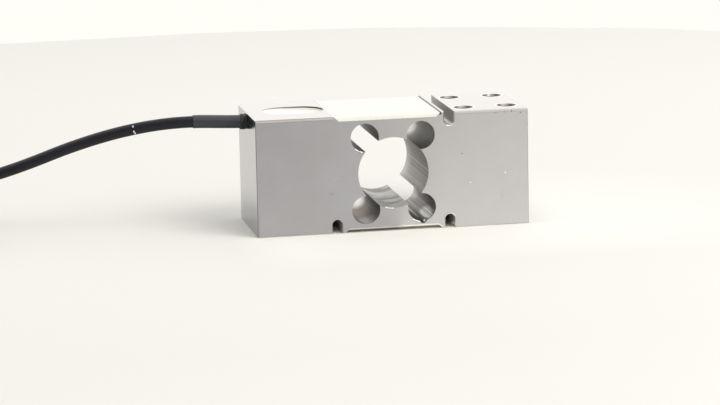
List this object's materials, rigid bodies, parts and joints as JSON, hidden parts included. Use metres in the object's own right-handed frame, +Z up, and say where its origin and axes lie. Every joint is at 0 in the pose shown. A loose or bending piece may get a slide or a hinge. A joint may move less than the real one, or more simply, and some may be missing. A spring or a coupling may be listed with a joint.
{
  "type": "single point load cell",
  "caption": "Aluminium bending-beam load cell with a clover-shaped window, siliconed gauge recesses, a potted wiring pocket, tapped mounting holes and a black signal cable.",
  "frame": {"origin": "middle of the beam's underside", "axes": "+X along the beam towards the loading end, +Z up out of the loading face, -Y towards the side with the trim marks"},
  "size_m": [0.404, 0.095, 0.064],
  "materials": {
    "machined_aluminium": "milled and ground, satin",
    "white_silicone": "soft satin white",
    "white_potting": "cured pour, slightly glossy",
    "gauge_foil": "polyimide film with etched foil grid",
    "terminal_copper": "copper lands on film",
    "bridge_wire": "thin insulated wire",
    "jumper_wire": "bare enamelled wire",
    "grey_foam": "adhesive pad",
    "green_board": "solder-masked board",
    "resistor_body": "lacquered metal film resistor",
    "red_insulation": "coloured wire insulation",
    "black_insulation": "coloured wire insulation",
    "green_insulation": "coloured wire insulation",
    "white_insulation": "coloured wire insulation",
    "shield_sleeving": "yellow sleeving on the drain wire",
    "tinned_copper": "tinned strands",
    "cable_jacket": "satin black jacket",
    "shrink_sleeve": "shrunk polyolefin sleeve",
    "seal_compound": "black sealant",
    "clamp_steel": "crimped steel band"
  },
  "bodies": {
    "root": {"spring_body": "machined_aluminium", "top_gauge_cover": "white_silicone", "bottom_gauge_cover": "white_silicone", "pocket_potting": "white_potting", "top_gauge_left": "gauge_foil", "top_gauge_right": "gauge_foil", "top_solder_terminals": "terminal_copper", "top_bridge_wires": "bridge_wire", "top_jumper_wires": "jumper_wire", "bottom_gauge_left": "gauge_foil", "bottom_gauge_right": "gauge_foil", "bottom_solder_terminals": "terminal_copper", "bottom_bridge_wires": "bridge_wire", "bottom_jumper_wires": "jumper_wire", "board_insulating_pad": "grey_foam", "compensation_board": "green_board", "zero_trim_resistor": "resistor_body", "span_trim_resistor": "resistor_body", "temperature_resistor": "resistor_body", "core_red": "red_insulation", "core_black": "black_insulation", "core_green": "green_insulation", "core_white": "white_insulation", "core_shield_drain": "tinned_copper", "cable": "cable_jacket", "cable_coil": "cable_jacket", "cable_tail": "cable_jacket", "cable_sleeve": "shrink_sleeve", "cable_seal": "seal_compound", "cable_clamp": "clamp_steel", "lead_red": "red_insulation", "lead_black": "black_insulation", "lead_green": "green_insulation", "lead_white": "white_insulation", "lead_shield": "shield_sleeving", "lead_tips": "tinned_copper"}
  },
  "joints": []
}
